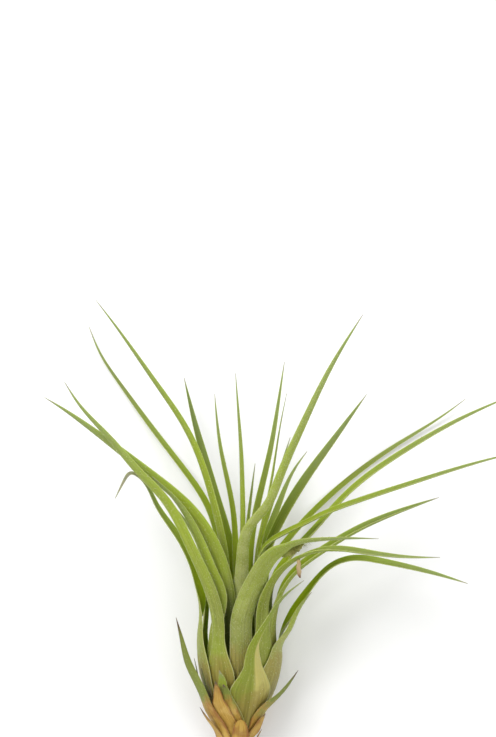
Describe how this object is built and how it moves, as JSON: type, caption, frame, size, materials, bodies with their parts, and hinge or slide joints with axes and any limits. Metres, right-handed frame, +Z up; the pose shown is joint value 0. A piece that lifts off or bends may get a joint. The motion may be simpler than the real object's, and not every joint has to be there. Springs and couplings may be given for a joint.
{
  "type": "air plant",
  "caption": "Rosette of narrow channelled leaves arching out of a small scaly bulb round a short stem, lying on its back.",
  "frame": {"origin": "centre of the part's footprint, on the surface that it rests on", "axes": "+Z up off the surface and out of the plant's front; the crown points towards +Y and the bulb's cut end towards -Y; +X to the right when the front is seen from above"},
  "size_m": [0.214, 0.2036, 0.1036],
  "materials": {
    "sage": "satin living leaf under a bloom of fine silvery scales",
    "green": "satin living leaf, bright and nearly bare of silvery scales",
    "tan": "matt dry papery leaf base",
    "bark": "matt dry dark brown stem and withered scale"
  },
  "bodies": {
    "root": {"stem": "bark", "leaf_01": "green", "leaf_02": "sage", "leaf_03": "sage", "leaf_04": "sage", "leaf_05": "sage", "leaf_06": "sage", "leaf_07": "sage", "leaf_08": "sage", "leaf_09": "sage", "leaf_10": "green", "leaf_11": "sage", "leaf_12": "sage", "leaf_13": "sage", "leaf_14": "sage", "leaf_15": "sage", "leaf_16": "sage", "leaf_17": "green", "leaf_18": "sage", "leaf_19": "sage", "leaf_20": "sage", "leaf_21": "green", "leaf_22": "sage", "leaf_23": "sage", "leaf_24": "sage", "leaf_25": "sage", "leaf_26": "sage", "leaf_27": "sage", "leaf_28": "sage", "leaf_29": "sage", "scale_01": "sage", "scale_02": "tan", "scale_03": "tan", "scale_04": "bark", "scale_05": "tan", "scale_06": "tan", "scale_07": "tan", "scale_08": "bark", "scale_09": "tan", "scale_10": "tan", "scale_11": "tan", "scale_12": "tan", "scale_13": "bark", "scale_14": "tan"}
  },
  "joints": []
}
